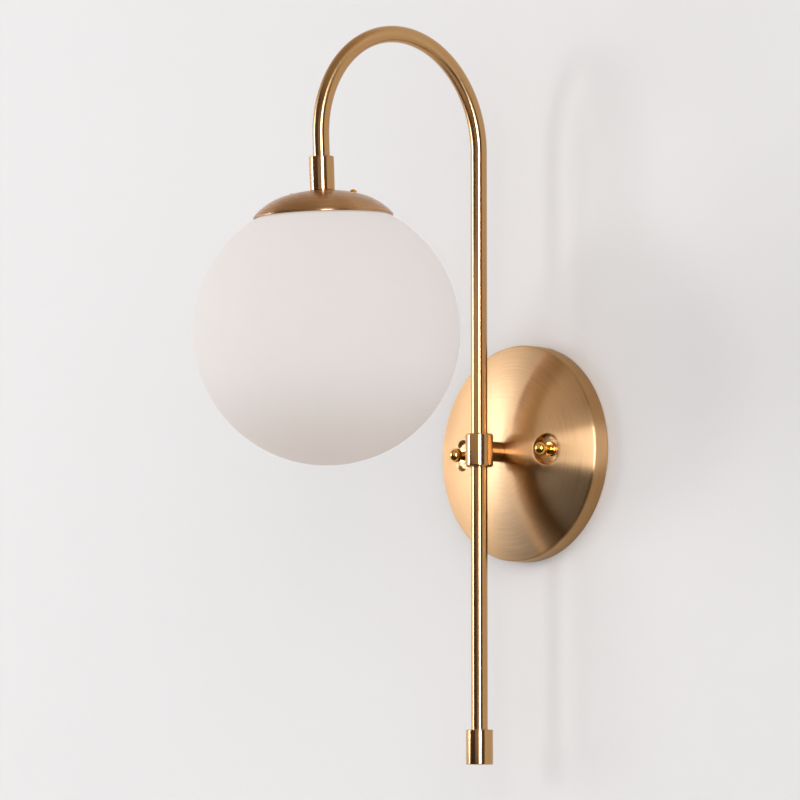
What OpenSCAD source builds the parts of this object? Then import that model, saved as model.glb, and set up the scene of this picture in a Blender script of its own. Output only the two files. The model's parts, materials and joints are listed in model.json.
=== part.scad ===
// Gooseneck wall light. A domed wall plate carries a short arm with a three-way collar.
// From the collar a bent tube rises and turns over to hold an opal glass globe, and a
// straight rod hangs down to an end cap.
// Millimetres. The wall is the plane y = 0 and the light stands out from it towards -Y.
// The origin is the middle of the bracket's two wall screws, on the wall. +Z is up.

/* [Wall plate] */
// Diameter of the domed wall plate
plate_d = 126; // [118:1:134]
// Width of the plain band around its edge
plate_band = 10; // [8:0.5:12]
// Distance from the wall to the top of the dome
plate_depth = 26; // [25:0.5:28]
// Thickness of the spun sheet
plate_wall = 1.2; // [0.8:0.1:1.6]
// Rounding between the band and the dome
plate_edge_r = 2; // [1.8:0.1:4]
// Diameter of the flat seat sunk into the dome for each ball nut
seat_d = 17.8; // [14:0.1:18.6]
// How far the seat lies below the dome at its outer edge, where it is shallowest
seat_drop = 0.3; // [0.2:0.05:0.6]

/* [Wall bracket] */
// Distance between the two screws that hold the plate
screw_spacing = 70; // [66:1:72]
// Length of the bracket strip
bracket_l = 114; // [112:0.5:115]
// Width of the strip
bracket_w = 16; // [13:0.5:20]
// Thickness of the strip
bracket_t = 2; // [1.5:0.1:2.2]
// Air behind the raised middle of the strip
bracket_rise = 4; // [3.6:0.1:4.4]
// Distance from the centre of a wall slot to the end of the strip
slot_edge = 9.5; // [8:0.5:10]
// Width of a wall slot
slot_w = 5; // [4.2:0.1:5.5]
// Length of a wall slot from end to end
slot_l = 12; // [8:0.5:13]

/* [Plate screws and ball nuts] */
// Diameter of the plate screws
screw_d = 4; // [3.5:0.1:4.5]
// Diameter of a plate screw's head
screw_head_d = 7; // [6:0.1:7.2]
// Height of a plate screw's head
screw_head_h = 2.4; // [1.8:0.1:2.8]
// Diameter of a ball nut
ball_d = 8; // [7.2:0.1:9.5]
// Height of the ball's centre above the seat
ball_rise = 7.8; // [7:0.1:8.4]
// Diameter of the neck below the ball
ball_neck_d = 5.6; // [5.4:0.1:6.4]
// Diameter of the flange that sits on the seat
ball_flange_d = 8.6; // [7.6:0.1:10]
// Thickness of the flange
ball_flange_h = 1.3; // [0.9:0.1:1.8]
// Depth of the threaded hole in a ball nut
ball_hole_h = 7; // [5:0.1:8]

/* [Arm] */
// Distance from the wall to the centre line of the upright tube
wall_gap = 41.5; // [40:0.5:50]
// Diameter of the arm between the plate and the collar
arm_d = 11.5; // [11:0.1:13]
// Diameter of the wire hole along the arm
arm_bore_d = 5.4; // [5:0.1:5.6]
// Diameter of the arm's threaded tail
tail_d = 10; // [9:0.1:10.5]
// Length of the tail behind the dome
tail_l = 10; // [8.5:0.5:12]
// Diameter of the spigot that screws into the collar
spigot_d = 8; // [7.4:0.1:8.4]
// Length of the spigot that reaches into the collar's wall
spigot_l = 5; // [4.4:0.1:5.2]
// Diameter of the washer behind the dome
washer_d = 18; // [17:0.5:20]
// Thickness of the washer
washer_h = 1.2; // [0.8:0.1:1.6]
// Width across the flats of the two lock nuts
nut_af = 14; // [13:0.5:14.5]
// Thickness of the lock nut behind the dome
arm_nut_h = 4; // [3:0.1:4.5]

/* [Collar] */
// Diameter of the three-way collar
collar_d = 16; // [15:0.1:18]
// Height of the collar
collar_h = 19; // [17.5:0.5:22]
// Rounding of the collar's edges
collar_edge_r = 1; // [0.4:0.1:1.4]
// Depth of the sockets at the collar's two ends
socket_l = 5; // [3.5:0.1:5.2]

/* [Gooseneck tube and lower rod] */
// Outside diameter of the tube
tube_d = 9.5; // [9:0.1:10]
// Wall thickness of the tube
tube_wall = 1; // [0.8:0.05:1.2]
// Height of the arch's centre above the arm
rise_h = 173; // [165:1:200]
// Radius of the arch along the tube's centre line
arch_r = 62.5; // [60:0.5:75]
// Angle that the tube is bent through
arch_sweep = 182.5; // [180:0.25:184]
// Straight tube between the arch and the coupling
drop_l = 11.3; // [8:0.1:20]
// Distance from the arm's centre line to the underside of the rod's end cap
rod_reach = 181; // [150:1:200]

/* [Rod end cap] */
// Diameter of the end cap
end_cap_d = 15.6; // [14:0.1:18]
// Height of the end cap
end_cap_h = 20; // [16:0.5:24]
// Depth of the hole that the rod sits in
end_cap_hole = 12; // [8:0.5:13]
// Bevel on the edges of the end cap and of the coupling
end_bevel = 0.5; // [0.2:0.1:0.9]

/* [Coupling] */
// Diameter of the coupling above the shade cap
coupling_d = 14; // [13:0.1:16]
// Length of the coupling
coupling_h = 19.4; // [18:0.1:24]
// Depth of the tube in the coupling
coupling_hole = 9.5; // [7:0.1:10]
// Diameter of the threaded nipple below the tube
nipple_d = 10; // [9.6:0.1:10.4]
// Diameter of the wire hole in the nipple
nipple_bore_d = 6.4; // [5.6:0.1:7]
// Thickness of the lock nut under the shade cap
cap_nut_h = 3.6; // [3:0.1:3.9]

/* [Shade cap] */
// Diameter of the shade cap at its rim
cap_d = 79.2; // [77:0.1:82]
// Height of the domed part of the cap
cap_h = 14.4; // [13.8:0.1:15.4]
// Radius of the crown of the dome
cap_crown_r = 80; // [70:1:95]
// Radius of the shoulder of the dome
cap_shoulder_r = 35; // [33:0.5:38]
// Height of the plain lip at the rim
cap_lip = 0.85; // [0.5:0.05:1.5]
// Thickness of the cap's sheet
cap_wall = 1; // [0.7:0.1:1.2]
// Distance of the two cap screws from the cap's axis
cap_screw_r = 18.5; // [17.5:0.1:19]
// Direction of the first cap screw, from +X towards the wall
cap_screw_turn = 26; // [0:1:90]
// Diameter of a cap screw
cap_screw_d = 2.5; // [2.2:0.1:3]
// Diameter of a cap screw's round head
cap_screw_head_d = 4.4; // [4:0.1:5]
// Height of a cap screw's head
cap_screw_head_h = 1.7; // [1.2:0.1:2.2]

/* [Clip ring and gasket] */
// Diameter of the clip ring's plate
clip_plate_d = 44; // [43:0.1:45]
// Thickness of the clip ring's sheet
clip_t = 0.8; // [0.6:0.05:1]
// Width of one spring clip
clip_w = 8; // [6:0.5:9]
// Length of the clips below the plate
clip_l = 9; // [8:0.5:12]
// Number of spring clips
clip_count = 3; // [3, 4]
// Thickness of the soft ring between the cap and the glass
gasket_h = 0.8; // [0.6:0.1:1.2]

/* [Glass globe] */
// Outside diameter of the globe
globe_d = 150; // [145:1:160]
// Thickness of the glass
globe_wall = 2.5; // [2:0.1:3]
// Outside diameter of the neck
neck_d = 55; // [54.6:0.1:57]

/* [Lampholder] */
// Outside diameter of the holder's body
holder_d = 28; // [27:0.5:30]
// Wall thickness of the holder's body
holder_wall = 1.6; // [1.2:0.1:2]
// Diameter of the holder's threaded boss
holder_boss_d = 16; // [15:0.5:18]
// Height of the boss and the domed top together
holder_top_h = 18; // [17.5:0.5:22]
// Length of the skirt below the domed top
holder_skirt_l = 32; // [30:0.5:36]
// Thickness of the porcelain insert
insert_h = 8; // [6:0.5:9]
// Inside diameter of the screw shell
shell_d = 14.2; // [14:0.1:14.6]
// Thickness of the screw shell
shell_wall = 0.4; // [0.3:0.05:0.6]
// Length of the screw shell
shell_l = 24; // [22:0.5:26]

/* [Bulb] */
// Diameter of the bulb
bulb_d = 45; // [40:1:46]
// Length of the bulb from its contact to its end
bulb_l = 79.5; // [76:0.5:84]
// Length of the screw base
base_l = 22; // [20:0.5:23]
// Thickness of the bulb's shell
bulb_wall = 1.2; // [1:0.1:1.6]

/* [Wiring] */
// Diameter of an insulated wire
wire_d = 1.9; // [1.6:0.1:2]
// Length of the terminal block
block_l = 18; // [16:0.5:18.5]
// Width of the terminal block
block_w = 18; // [17:0.5:22]
// Height of the terminal block
block_h = 10; // [9:0.5:10.5]
// Distance between the block's two poles
pole_pitch = 10; // [9.4:0.1:11]
// Distance of the block's centre from the middle of the bracket
block_x = 20; // [19.5:0.1:20.5]
// Distance of the earth screw from the middle of the bracket
earth_x = 20; // [17:0.5:26]

/* [Hidden] */
// Clearances: a thread or a turning fit, a push fit, a seat between bodies
fit_gap = 0.05;
hole_gap = 0.1;
seat_gap = 0.3;
eps = 0.01;

plate_r = plate_d / 2;
// Distance between the centres of the two wall slots
slot_spacing = bracket_l - 2 * slot_edge;
// Width of the flat that the arm's seat leaves round it
arm_seat_rim = 0.5;
// Air between a screw head and the bracket's riser, and past a screw's end in its nut
riser_play = 0.4;
screw_end_gap = 0.4;
// Radius of the sphere whose cap is the dome
dome_h = plate_depth - plate_band;
dome_r = (plate_r * plate_r + dome_h * dome_h) / (2 * dome_h);
dome_centre = plate_depth - dome_r;
// Distance of the dome's outer face from the wall, at a distance from its axis
function dome_at(r) = dome_centre + sqrt(dome_r * dome_r - r * r);
function dome_inside_at(r) = dome_centre + sqrt(pow(dome_r - plate_wall, 2) - r * r);

seat_h = dome_at((screw_spacing + seat_d) / 2) - seat_drop;
arm_seat_r = arm_d / 2 + arm_seat_rim;
arm_seat_h = dome_at(arm_seat_r);
washer_face = dome_inside_at(washer_d / 2);
raised_face = bracket_rise + bracket_t;
riser_x = screw_spacing / 2 + screw_head_d / 2 + riser_play;
ball_h = seat_h + ball_rise;
screw_end = seat_h + ball_hole_h - screw_end_gap;

tube_r = tube_d / 2;
bore_r = tube_r - tube_wall;
socket_floor = collar_h / 2 - socket_l;
// The straight end past the bend is drawn a hair thinner and laps a little into the bend
draw_gap = 0.02;
bend_lap = 0.5;

// The head frame starts at the arch's end and leans with the tube
head_lean = arch_sweep - 180;
head_y = -wall_gap - arch_r + arch_r * cos(arch_sweep);
head_z = rise_h + arch_r * sin(arch_sweep);

// Distances down the head's axis, from the arch's end
cap_r = cap_d / 2;
cap_flat_r = coupling_d / 2 + 0.2;
coupling_end = drop_l + coupling_h;
cap_top = coupling_end - (cap_crown_r - sqrt(pow(cap_crown_r, 2) - pow(cap_flat_r, 2)));
// Centre of the shoulder arc: it touches the crown and passes through the rim
rim_dz = cap_crown_r - cap_h;
rim_dist = sqrt(cap_r * cap_r + rim_dz * rim_dz);
crown_less = cap_crown_r - cap_shoulder_r;
along = (pow(crown_less, 2) - pow(cap_shoulder_r, 2) + pow(rim_dist, 2)) / (2 * rim_dist);
across = sqrt(pow(crown_less, 2) - along * along);
shoulder_x = (cap_r * along - rim_dz * across) / rim_dist;
shoulder_z = cap_crown_r - (rim_dz * along + cap_r * across) / rim_dist;
// Distance down the head's axis to the cap's faces, at a distance from that axis
function crown_drop(r, w) = cap_crown_r - sqrt(pow(cap_crown_r - w, 2) - r * r);
function shoulder_drop(r, w) = shoulder_z - sqrt(pow(cap_shoulder_r - w, 2) - pow(r - shoulder_x, 2));
function meet_r(w) = shoulder_x * (cap_crown_r - w) / crown_less;
function cap_at(r, w) = cap_top + (r < meet_r(w) ? crown_drop(r, w) : shoulder_drop(r, w));
cap_rim = cap_top + cap_h + cap_lip;

globe_r = globe_d / 2;
neck_r = neck_d / 2;
neck_in_r = neck_r - globe_wall;
globe_centre = cap_rim + sqrt(pow(globe_r + seat_gap, 2) - pow(cap_r - cap_wall, 2));
neck_top = cap_at(neck_r, cap_wall) + gasket_h + 2 * hole_gap;

nut_corner_r = nut_af / 2 / cos(30);
cap_nut_top = cap_at(nut_corner_r, cap_wall);
cap_nut_end = cap_nut_top + cap_nut_h;
clip_plate_r = clip_plate_d / 2;
// Clearance round the lock nut, and the drop of a clip's shoulder
nut_play = 1.2;
clip_bend = 2.6;
clip_top = cap_at(clip_plate_r, cap_wall) + hole_gap;
clip_out = sqrt(pow(neck_in_r - seat_gap, 2) - pow(clip_w / 2, 2));
cap_screw_seat = cap_at(cap_screw_r, 0);

// The lampholder's domed top: its boss, the drop of its shoulder and its threaded depth
holder_boss_h = 4;
holder_shoulder = 6;
holder_thread_l = 8.2;
holder_r = holder_d / 2;
holder_in_r = holder_r - holder_wall;
holder_start = cap_nut_end + seat_gap;
holder_split = holder_start + holder_top_h;
holder_end = holder_split + holder_skirt_l;
holder_floor = holder_start + holder_thread_l;
nipple_start = drop_l + coupling_hole + hole_gap;
nipple_end = holder_floor;
insert_start = holder_split - insert_h / 2;
insert_end = insert_start + insert_h;
contact_h = 2.4;
contact_r = 2.2;
shell_r = shell_d / 2;

base_r = shell_r - fit_gap;
bulb_start = insert_end + contact_h + hole_gap;
bulb_end = bulb_start + bulb_l;
tip_h = 0.9;
tip_r = 2.6;
tip_crown = 4;
glass_ring_h = 2.4;
base_wall = 0.5;
body_lip = 2;
base_start = bulb_start + tip_h + glass_ring_h;
base_end = bulb_start + base_l;
bulb_r = bulb_d / 2;
bulb_centre = bulb_end - bulb_r;
bulb_split = bulb_centre - bulb_r * 0.55;
bulb_split_r = sqrt(bulb_r * bulb_r - pow(bulb_centre - bulb_split, 2));

wire_r = wire_d / 2;
wire_dx = wire_r + 0.15;
wire_sides = 8;
pole_h = raised_face + block_h / 2;
pole_tube_r = 2.2;
clamp_r = 1.8;
clamp_sink = 0.6;
wire_play = 0.2;
fixing_r = 1.5;
fixing_head_r = 2.4;
fixing_head_h = 2;
fixing_sink = 3;
block_end_x = -block_x + block_l / 2;
elbow_r = 3;
// The eye at each end of the earth lead, and the screw through the second one
eye_t = 0.8;
eye_r = washer_d / 2 - 2;
earth_screw_r = 2;
earth_head_r = 3.6;
earth_head_h = 2.4;

$fn = 96;

brass = "#b8935a";
bright_brass = "#d8b24a";
zinc = "#b9bcc0";
opal = "#ece6de";

// Turns the local z axis to point off the wall; local y is up
module off_wall() rotate([90, 0, 0]) children();

// Moves down the head's axis; local z still points up that axis
module on_head(down = 0) {
    translate([0, head_y, head_z]) rotate([head_lean, 0, 0]) translate([0, 0, -down]) children();
}

// A ring between two distances down the head's axis
module head_ring(from, to, r_out, r_in = 0) {
    on_head(to) difference() {
        cylinder(r = r_out, h = to - from);
        if (r_in > 0) translate([0, 0, -1]) cylinder(r = r_in, h = to - from + 2);
    }
}

module tube_ring(r_out, r_in) {
    difference() {
        circle(r = r_out);
        circle(r = r_in);
    }
}

module hex_nut(h, hole_r) {
    difference() {
        cylinder(r = nut_corner_r, h = h, $fn = 6);
        translate([0, 0, -1]) cylinder(r = hole_r, h = h + 2);
    }
}

// A round bar with bevels at its two ends
module bevelled(r, h, b) {
    cylinder(r1 = r - b, r2 = r, h = b);
    translate([0, 0, b]) cylinder(r = r, h = h - 2 * b);
    translate([0, 0, h - b]) cylinder(r1 = r, r2 = r - b, h = b);
}

// Half section of the domed plate, drawn solid, with w taken off its outer faces
module plate_half(w) {
    edge = plate_edge_r - w;
    edge_x = plate_r - plate_edge_r;
    edge_z = dome_centre + sqrt(pow(dome_r - plate_edge_r, 2) - edge_x * edge_x);
    meet_x = edge_x * (dome_r - w) / (dome_r - plate_edge_r);
    intersection() {
        translate([0, dome_centre]) circle(r = dome_r - w, $fn = 720);
        square([meet_x, plate_depth]);
    }
    translate([edge_x, edge_z]) circle(r = edge);
    translate([0, w > 0 ? -1 : 0]) square([plate_r - w, edge_z + (w > 0 ? 1 : 0)]);
}

module plate_solid(w) rotate_extrude() plate_half(w);

module at_screws() {
    for (side = [-1, 1]) translate([side * screw_spacing / 2, 0, 0]) children();
}

module wall_plate() {
    seat_r = seat_d / 2;
    color(brass) off_wall() difference() {
        plate_solid(0);
        difference() {
            plate_solid(plate_wall);
            at_screws() translate([0, 0, seat_h - plate_wall])
                cylinder(r = seat_r + plate_wall, h = plate_depth);
        }
        at_screws() translate([0, 0, seat_h]) cylinder(r = seat_r, h = plate_depth);
        at_screws() cylinder(r = screw_d / 2 + seat_gap, h = plate_depth);
        cylinder(r = tail_d / 2 + hole_gap, h = plate_depth + 1);
        translate([0, 0, arm_seat_h]) cylinder(r = arm_seat_r, h = plate_depth);
    }
}

module slot_cut() {
    run = slot_l - slot_w;
    for (end = [-1, 1]) translate([end * run / 2, 0, -1]) cylinder(r = slot_w / 2, h = bracket_t + 2);
    translate([-run / 2, -slot_w / 2, -1]) cube([run, slot_w, bracket_t + 2]);
}

module wall_bracket() {
    foot_l = bracket_l / 2 - riser_x;
    color(zinc) off_wall() difference() {
        union() {
            translate([-riser_x - bracket_t, -bracket_w / 2, bracket_rise])
                cube([2 * (riser_x + bracket_t), bracket_w, bracket_t]);
            for (side = [0, 1]) mirror([side, 0, 0]) translate([riser_x, -bracket_w / 2, 0]) {
                cube([bracket_t, bracket_w, raised_face]);
                cube([foot_l, bracket_w, bracket_t]);
            }
        }
        at_screws() cylinder(r = screw_d / 2 + fit_gap, h = raised_face + 1);
        for (side = [-1, 1]) translate([side * slot_spacing / 2, 0, 0]) slot_cut();
        translate([earth_x, 0, 0]) cylinder(r = earth_screw_r + fit_gap, h = raised_face + 1);
        translate([-block_x, 0, 0]) cylinder(r = fixing_r + fit_gap, h = raised_face + 1);
    }
}

module plate_screws() {
    color(zinc) off_wall() at_screws() {
        translate([0, 0, bracket_rise - screw_head_h]) cylinder(r = screw_head_d / 2, h = screw_head_h);
        translate([0, 0, bracket_rise - eps]) cylinder(r = screw_d / 2, h = screw_end - bracket_rise + eps);
    }
}

module ball_nut() {
    color(bright_brass) off_wall() difference() {
        union() {
            translate([0, 0, ball_h]) sphere(r = ball_d / 2);
            translate([0, 0, seat_h]) cylinder(r = ball_neck_d / 2, h = ball_rise);
            translate([0, 0, seat_h]) cylinder(r = ball_flange_d / 2, h = ball_flange_h);
        }
        translate([0, 0, seat_h - 1]) cylinder(r = screw_d / 2 + fit_gap, h = ball_hole_h + 1);
    }
}

module ball_nut_left() translate([-screw_spacing / 2, 0, 0]) ball_nut();
module ball_nut_right() translate([screw_spacing / 2, 0, 0]) ball_nut();

module arm() {
    inner_end = wall_gap - collar_d / 2 + spigot_l;
    color(brass) off_wall() difference() {
        union() {
            translate([0, 0, washer_face - tail_l])
                cylinder(r = tail_d / 2, h = arm_seat_h - washer_face + tail_l + eps);
            difference() {
                translate([0, 0, arm_seat_h]) cylinder(r = arm_d / 2, h = wall_gap - arm_seat_h);
                translate([0, -collar_h, wall_gap]) rotate([-90, 0, 0])
                    cylinder(r = collar_d / 2, h = 2 * collar_h);
            }
            translate([0, 0, arm_seat_h]) cylinder(r = spigot_d / 2, h = inner_end - arm_seat_h);
        }
        translate([0, 0, -1]) cylinder(r = arm_bore_d / 2, h = wall_gap + 2);
    }
}

module arm_washer() {
    color(zinc) off_wall() translate([0, 0, washer_face - washer_h]) difference() {
        cylinder(r = washer_d / 2, h = washer_h);
        translate([0, 0, -1]) cylinder(r = tail_d / 2 + hole_gap, h = washer_h + 2);
    }
}

// The eye of the earth lead lies between the washer and this nut
module arm_lock_nut() {
    color(zinc) off_wall() translate([0, 0, washer_face - washer_h - eye_t - arm_nut_h])
        hex_nut(arm_nut_h, tail_d / 2 + fit_gap);
}

module collar() {
    e = collar_edge_r;
    r = collar_d / 2;
    color(brass) translate([0, -wall_gap, 0]) difference() {
        union() {
            translate([0, 0, -collar_h / 2 + e]) cylinder(r = r, h = collar_h - 2 * e);
            translate([0, 0, -collar_h / 2]) cylinder(r = r - e, h = collar_h);
            for (end = [-1, 1]) translate([0, 0, end * (collar_h / 2 - e)])
                rotate_extrude() translate([r - e, 0]) circle(r = e);
        }
        translate([0, 0, -collar_h]) cylinder(r = bore_r, h = 2 * collar_h);
        translate([0, 0, socket_floor]) cylinder(r = tube_r + fit_gap, h = collar_h);
        translate([0, 0, -socket_floor - collar_h]) cylinder(r = tube_r + fit_gap, h = collar_h);
        rotate([-90, 0, 0]) cylinder(r = spigot_d / 2 + fit_gap, h = collar_d);
    }
}

module gooseneck_tube() {
    color(brass) {
        translate([0, -wall_gap, socket_floor])
            linear_extrude(rise_h - socket_floor) tube_ring(tube_r, bore_r);
        translate([0, -wall_gap - arch_r, rise_h]) rotate([90, 0, 90])
            rotate_extrude(angle = arch_sweep) translate([arch_r, 0]) tube_ring(tube_r, bore_r);
        on_head(drop_l + coupling_hole) linear_extrude(drop_l + coupling_hole + bend_lap)
            tube_ring(tube_r - draw_gap, bore_r + draw_gap);
    }
}

module lower_rod() {
    rod_end = -rod_reach + end_cap_h - end_cap_hole;
    color(brass) translate([0, -wall_gap, rod_end])
        linear_extrude(-socket_floor - rod_end) tube_ring(tube_r, bore_r);
}

module rod_end_cap() {
    color(brass) translate([0, -wall_gap, -rod_reach]) difference() {
        bevelled(end_cap_d / 2, end_cap_h, end_bevel);
        translate([0, 0, end_cap_h - end_cap_hole]) cylinder(r = tube_r + fit_gap, h = end_cap_hole + 1);
    }
}

module coupling() {
    color(brass) on_head(coupling_end) difference() {
        bevelled(coupling_d / 2, coupling_h, end_bevel);
        translate([0, 0, -1]) cylinder(r = nipple_d / 2 + fit_gap, h = coupling_h - coupling_hole + 1);
        translate([0, 0, coupling_h - coupling_hole]) cylinder(r = tube_r + fit_gap, h = coupling_hole + 1);
    }
}

module nipple() {
    color(zinc) head_ring(nipple_start, nipple_end, nipple_d / 2, nipple_bore_d / 2);
}

module cap_lock_nut() {
    color(zinc) on_head(cap_nut_end) hex_nut(cap_nut_h, nipple_d / 2 + fit_gap);
}

// Half section of the shade cap, drawn solid and hanging from its top, with w taken off
module cap_half(w) {
    intersection() {
        union() {
            intersection() {
                translate([0, -cap_crown_r]) circle(r = cap_crown_r - w, $fn = 720);
                translate([0, -cap_h - 1]) square([meet_r(w), cap_h + 2]);
            }
            translate([shoulder_x, -shoulder_z]) circle(r = cap_shoulder_r - w, $fn = 360);
        }
        translate([0, -cap_h]) square([cap_r, cap_h + 1]);
    }
    translate([0, -cap_h - cap_lip - (w > 0 ? 1 : 0)])
        square([cap_r - w, cap_lip + eps + (w > 0 ? 1 : 0)]);
}

// Places a child at each cap screw, with local z up the head's axis
module at_cap_screws(down) {
    for (turn = [0, 180]) on_head(down) rotate([0, 0, cap_screw_turn + turn])
        translate([cap_screw_r, 0, 0]) children();
}

module shade_cap() {
    color(brass) difference() {
        on_head(cap_top) difference() {
            rotate_extrude() cap_half(0);
            rotate_extrude() cap_half(cap_wall);
            translate([0, 0, cap_top - coupling_end]) cylinder(r = cap_flat_r, h = cap_h);
            translate([0, 0, -cap_h]) cylinder(r = nipple_d / 2 + hole_gap, h = 2 * cap_h);
        }
        at_cap_screws(cap_screw_seat) cylinder(r = cap_screw_head_d / 2 + hole_gap, h = cap_h);
        at_cap_screws(cap_screw_seat + cap_h) cylinder(r = cap_screw_d / 2 + hole_gap, h = 2 * cap_h);
    }
}

module cap_screws() {
    head_r = cap_screw_head_d / 2;
    crown_r = (head_r * head_r + cap_screw_head_h * cap_screw_head_h) / (2 * cap_screw_head_h);
    shank_l = clip_top + clip_t + 1 - cap_screw_seat;
    color(brass) at_cap_screws(cap_screw_seat) {
        intersection() {
            translate([0, 0, cap_screw_head_h - crown_r]) sphere(r = crown_r);
            cylinder(r = head_r + 1, h = cap_screw_head_h + 1);
        }
        translate([0, 0, -shank_l]) cylinder(r = cap_screw_d / 2, h = shank_l + eps);
    }
}

// One spring clip in the plane of x and z, seen from its edge
module clip_edge() {
    root = clip_plate_r - 2;
    polygon([[root, 0], [root + 1.4, 0], [clip_out, -clip_bend],
             [clip_out, -clip_l], [clip_out - clip_t, -clip_l],
             [clip_out - clip_t, -clip_bend - clip_t / 2], [root + 1, -clip_t],
             [root, -clip_t]]);
}

module clip_ring() {
    color(zinc) difference() {
        union() {
            head_ring(clip_top, clip_top + clip_t, clip_plate_r, nut_corner_r + nut_play);
            for (i = [0:clip_count - 1]) on_head(clip_top)
                rotate([0, 0, cap_screw_turn + 90 + i * 360 / clip_count])
                rotate([90, 0, 0]) translate([0, 0, -clip_w / 2]) linear_extrude(clip_w) clip_edge();
        }
        at_cap_screws(clip_top + 5) cylinder(r = cap_screw_d / 2 + fit_gap, h = 10);
    }
}

module glass_gasket() {
    gasket_end = neck_top - hole_gap;
    color("white") head_ring(gasket_end - gasket_h, gasket_end, neck_r - hole_gap, neck_in_r + hole_gap);
}

module glass_globe() {
    color(opal) on_head(globe_centre) difference() {
        union() {
            sphere(r = globe_r, $fn = 180);
            cylinder(r = neck_r, h = globe_centre - neck_top);
        }
        sphere(r = globe_r - globe_wall, $fn = 180);
        cylinder(r = neck_in_r, h = globe_centre);
    }
}

module holder_top() {
    boss_r = holder_boss_d / 2;
    ledge = -holder_boss_h;
    drop = holder_shoulder;
    color("#26221f") on_head(holder_start) difference() {
        rotate_extrude() polygon([[0, 0], [boss_r, 0], [boss_r, ledge],
            [holder_r - 0.4 * drop, ledge - 0.25 * drop], [holder_r - 0.1 * drop, ledge - 0.55 * drop],
            [holder_r, ledge - drop], [holder_r, -holder_top_h], [0, -holder_top_h]]);
        translate([0, 0, holder_start - holder_floor - eps])
            cylinder(r = nipple_d / 2 + fit_gap, h = holder_floor - holder_start + 1);
        translate([0, 0, -holder_top_h - 1])
            cylinder(r = holder_in_r, h = holder_top_h - (holder_floor - holder_start) + 1);
    }
}

module holder_insert() {
    color("white") head_ring(insert_start, insert_end, holder_in_r - hole_gap);
}

module holder_contact() {
    color(bright_brass) head_ring(insert_end, insert_end + contact_h, contact_r);
}

module holder_shell() {
    color(zinc) head_ring(insert_end, insert_end + shell_l, shell_r + shell_wall, shell_r);
}

module holder_skirt() {
    color("#26221f") head_ring(holder_split, holder_end, holder_r, holder_in_r);
}

module bulb_contact() {
    color(zinc) on_head(bulb_start + tip_h) intersection() {
        cylinder(r = tip_r, h = tip_h);
        translate([0, 0, -tip_crown]) sphere(r = tip_crown + tip_h);
    }
}

module bulb_insulator() {
    color("#1d1b1a") on_head(base_start) cylinder(r1 = base_r - base_wall, r2 = tip_r, h = glass_ring_h);
}

module bulb_base() {
    color(zinc) head_ring(base_start, base_end, base_r, base_r - base_wall);
}

// The white plastic body widens from the base to the diffuser
module bulb_body() {
    body_l = bulb_split - base_end;
    foot_r = base_r + base_wall;
    inner_r = bulb_split_r - bulb_wall;
    color("white") on_head(bulb_split) difference() {
        union() {
            cylinder(r1 = bulb_split_r, r2 = foot_r, h = body_l - body_lip);
            translate([0, 0, body_l - body_lip]) cylinder(r = foot_r, h = body_lip);
        }
        translate([0, 0, -eps])
            cylinder(r1 = inner_r, r2 = foot_r - bulb_wall, h = body_l - body_lip - bulb_wall);
    }
}

module bulb_diffuser() {
    color("#f4f1ea") on_head(bulb_centre) difference() {
        sphere(r = bulb_r);
        sphere(r = bulb_r - bulb_wall);
        translate([0, 0, bulb_centre - bulb_split]) cylinder(r = bulb_r, h = bulb_r);
    }
}

module terminal_block() {
    color("#e8e6e0") off_wall() translate([-block_x, 0, raised_face]) difference() {
        translate([-block_l / 2, -block_w / 2, 0]) cube([block_l, block_w, block_h]);
        for (side = [-1, 1]) translate([0, side * pole_pitch / 2, 0]) {
            translate([-block_l, 0, pole_h - raised_face]) rotate([0, 90, 0])
                cylinder(r = pole_tube_r + fit_gap, h = 2 * block_l);
            translate([0, 0, pole_h - raised_face]) cylinder(r = clamp_r + fit_gap, h = block_h);
        }
        translate([0, 0, -1]) cylinder(r = fixing_r + fit_gap, h = block_h + 2);
        translate([0, 0, block_h - fixing_sink]) cylinder(r = fixing_head_r + hole_gap, h = block_h);
    }
}

// Two brass tubes, each with its clamping screw
module terminal_tubes() {
    tube_l = block_l - 4;
    color(bright_brass) off_wall() for (side = [-1, 1])
        translate([-block_x, side * pole_pitch / 2, pole_h]) difference() {
            union() {
                translate([-tube_l / 2, 0, 0]) rotate([0, 90, 0]) cylinder(r = pole_tube_r, h = tube_l);
                cylinder(r = clamp_r, h = raised_face + block_h - pole_h - clamp_sink);
            }
            translate([-tube_l, 0, 0]) rotate([0, 90, 0]) cylinder(r = wire_r + wire_play, h = 2 * tube_l);
        }
}

module terminal_fixing() {
    color(zinc) off_wall() translate([-block_x, 0, 0]) {
        translate([0, 0, bracket_rise]) cylinder(r = fixing_r, h = bracket_t + block_h - fixing_sink + eps);
        translate([0, 0, raised_face + block_h - fixing_sink]) cylinder(r = fixing_head_r, h = fixing_head_h);
    }
}

module earth_screw() {
    color(bright_brass) off_wall() translate([earth_x, 0, 0]) {
        translate([0, 0, bracket_rise - 1]) cylinder(r = earth_screw_r, h = bracket_t + 1 + eye_t + eps);
        translate([0, 0, raised_face + eye_t]) cylinder(r = earth_head_r, h = earth_head_h);
    }
}

// Sweeps a round section along a list of points
function unit(v) = v / norm(v);
function tangent(p, i) = unit(p[min(i + 1, len(p) - 1)] - p[max(i - 1, 0)]);
function carry(n, t) = unit(n - (n * t) * t);
function normals(p, i, n) = i == len(p) ? [] :
    let (m = carry(n, tangent(p, i))) concat([m], normals(p, i + 1, m));

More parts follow.
